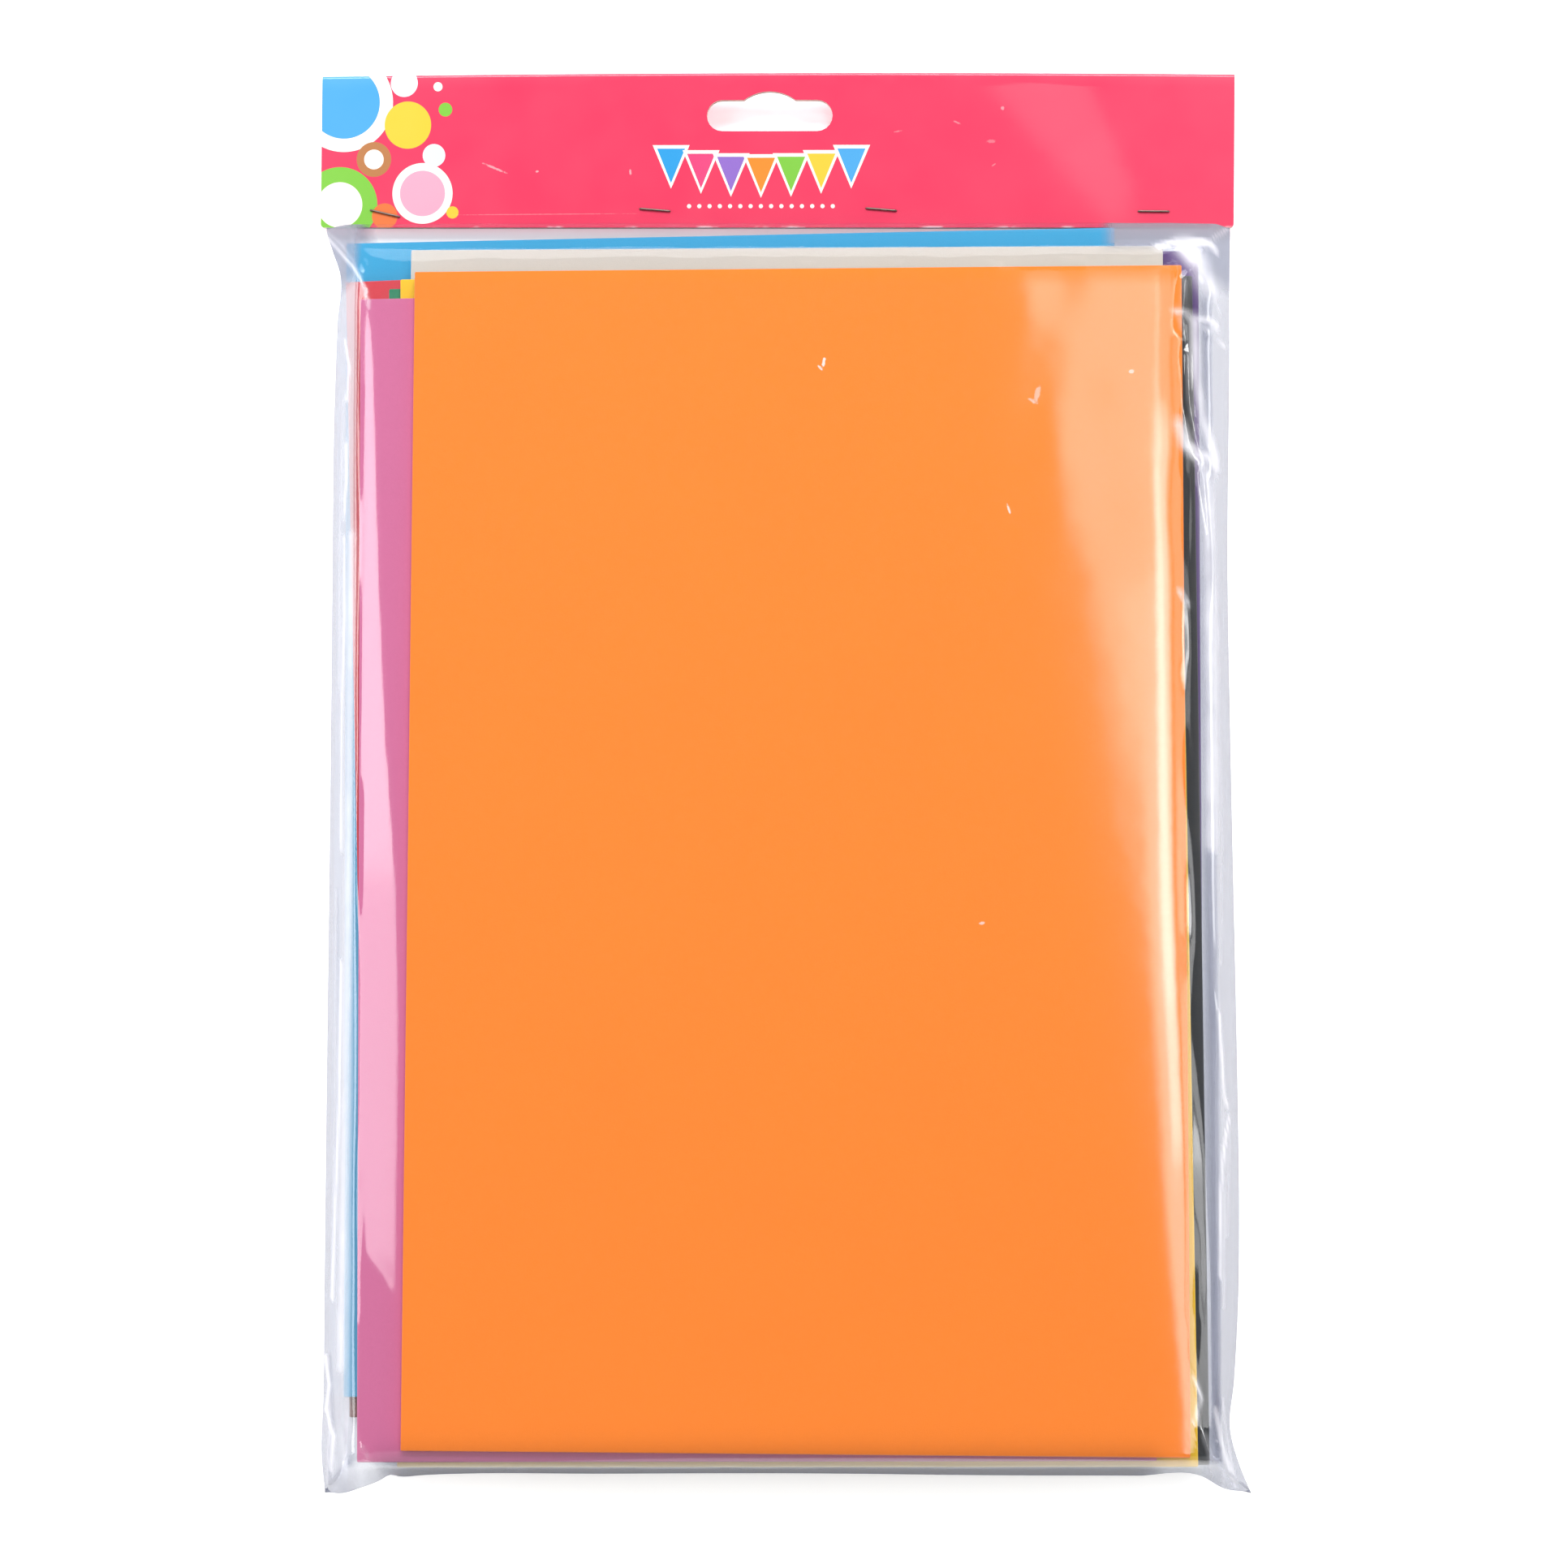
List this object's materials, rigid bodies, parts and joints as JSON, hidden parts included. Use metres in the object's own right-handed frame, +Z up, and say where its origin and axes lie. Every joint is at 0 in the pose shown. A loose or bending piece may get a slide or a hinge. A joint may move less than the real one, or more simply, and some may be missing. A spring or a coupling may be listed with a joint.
{
  "type": "craft foam sheet pack",
  "caption": "Stack of coloured craft foam sheets lying flat in a clear film bag, closed by a folded, stapled header card with a hang slot.",
  "frame": {"origin": "middle of the pack's box, on the surface that it lies on", "axes": "+X to the right along the header card, +Y along the sheets towards the header card's fold, +Z up through the stack"},
  "size_m": [0.2404, 0.3696, 0.0226],
  "materials": {
    "brown_foam": "brown craft foam, matte, fine closed cells",
    "blue_foam": "light blue craft foam, matte, fine closed cells",
    "red_foam": "red craft foam, matte, fine closed cells",
    "purple_foam": "purple craft foam, matte, fine closed cells",
    "black_foam": "black craft foam, matte, fine closed cells",
    "white_foam": "white craft foam, matte, fine closed cells",
    "green_foam": "green craft foam, matte, fine closed cells",
    "yellow_foam": "yellow craft foam, matte, fine closed cells",
    "pink_foam": "pink craft foam, matte, fine closed cells",
    "orange_foam": "bright orange craft foam, matte, fine closed cells",
    "printed_card": "pink-red printed card, satin coating, whitened edges and small scuffs",
    "clear_film": "thin clear film, glossy, slightly milky, creased at the sides and corners",
    "staple_wire": "bright steel wire"
  },
  "bodies": {
    "root": {"foam_sheet_brown": "brown_foam", "foam_sheet_blue": "blue_foam", "foam_sheet_red": "red_foam", "foam_sheet_purple": "purple_foam", "foam_sheet_black": "black_foam", "foam_sheet_white": "white_foam", "foam_sheet_green": "green_foam", "foam_sheet_yellow": "yellow_foam", "foam_sheet_pink": "pink_foam", "foam_sheet_orange": "orange_foam", "film_bag": "clear_film", "header_card": "printed_card", "staple_1": "staple_wire", "staple_2": "staple_wire", "staple_3": "staple_wire", "staple_4": "staple_wire"}
  },
  "joints": []
}
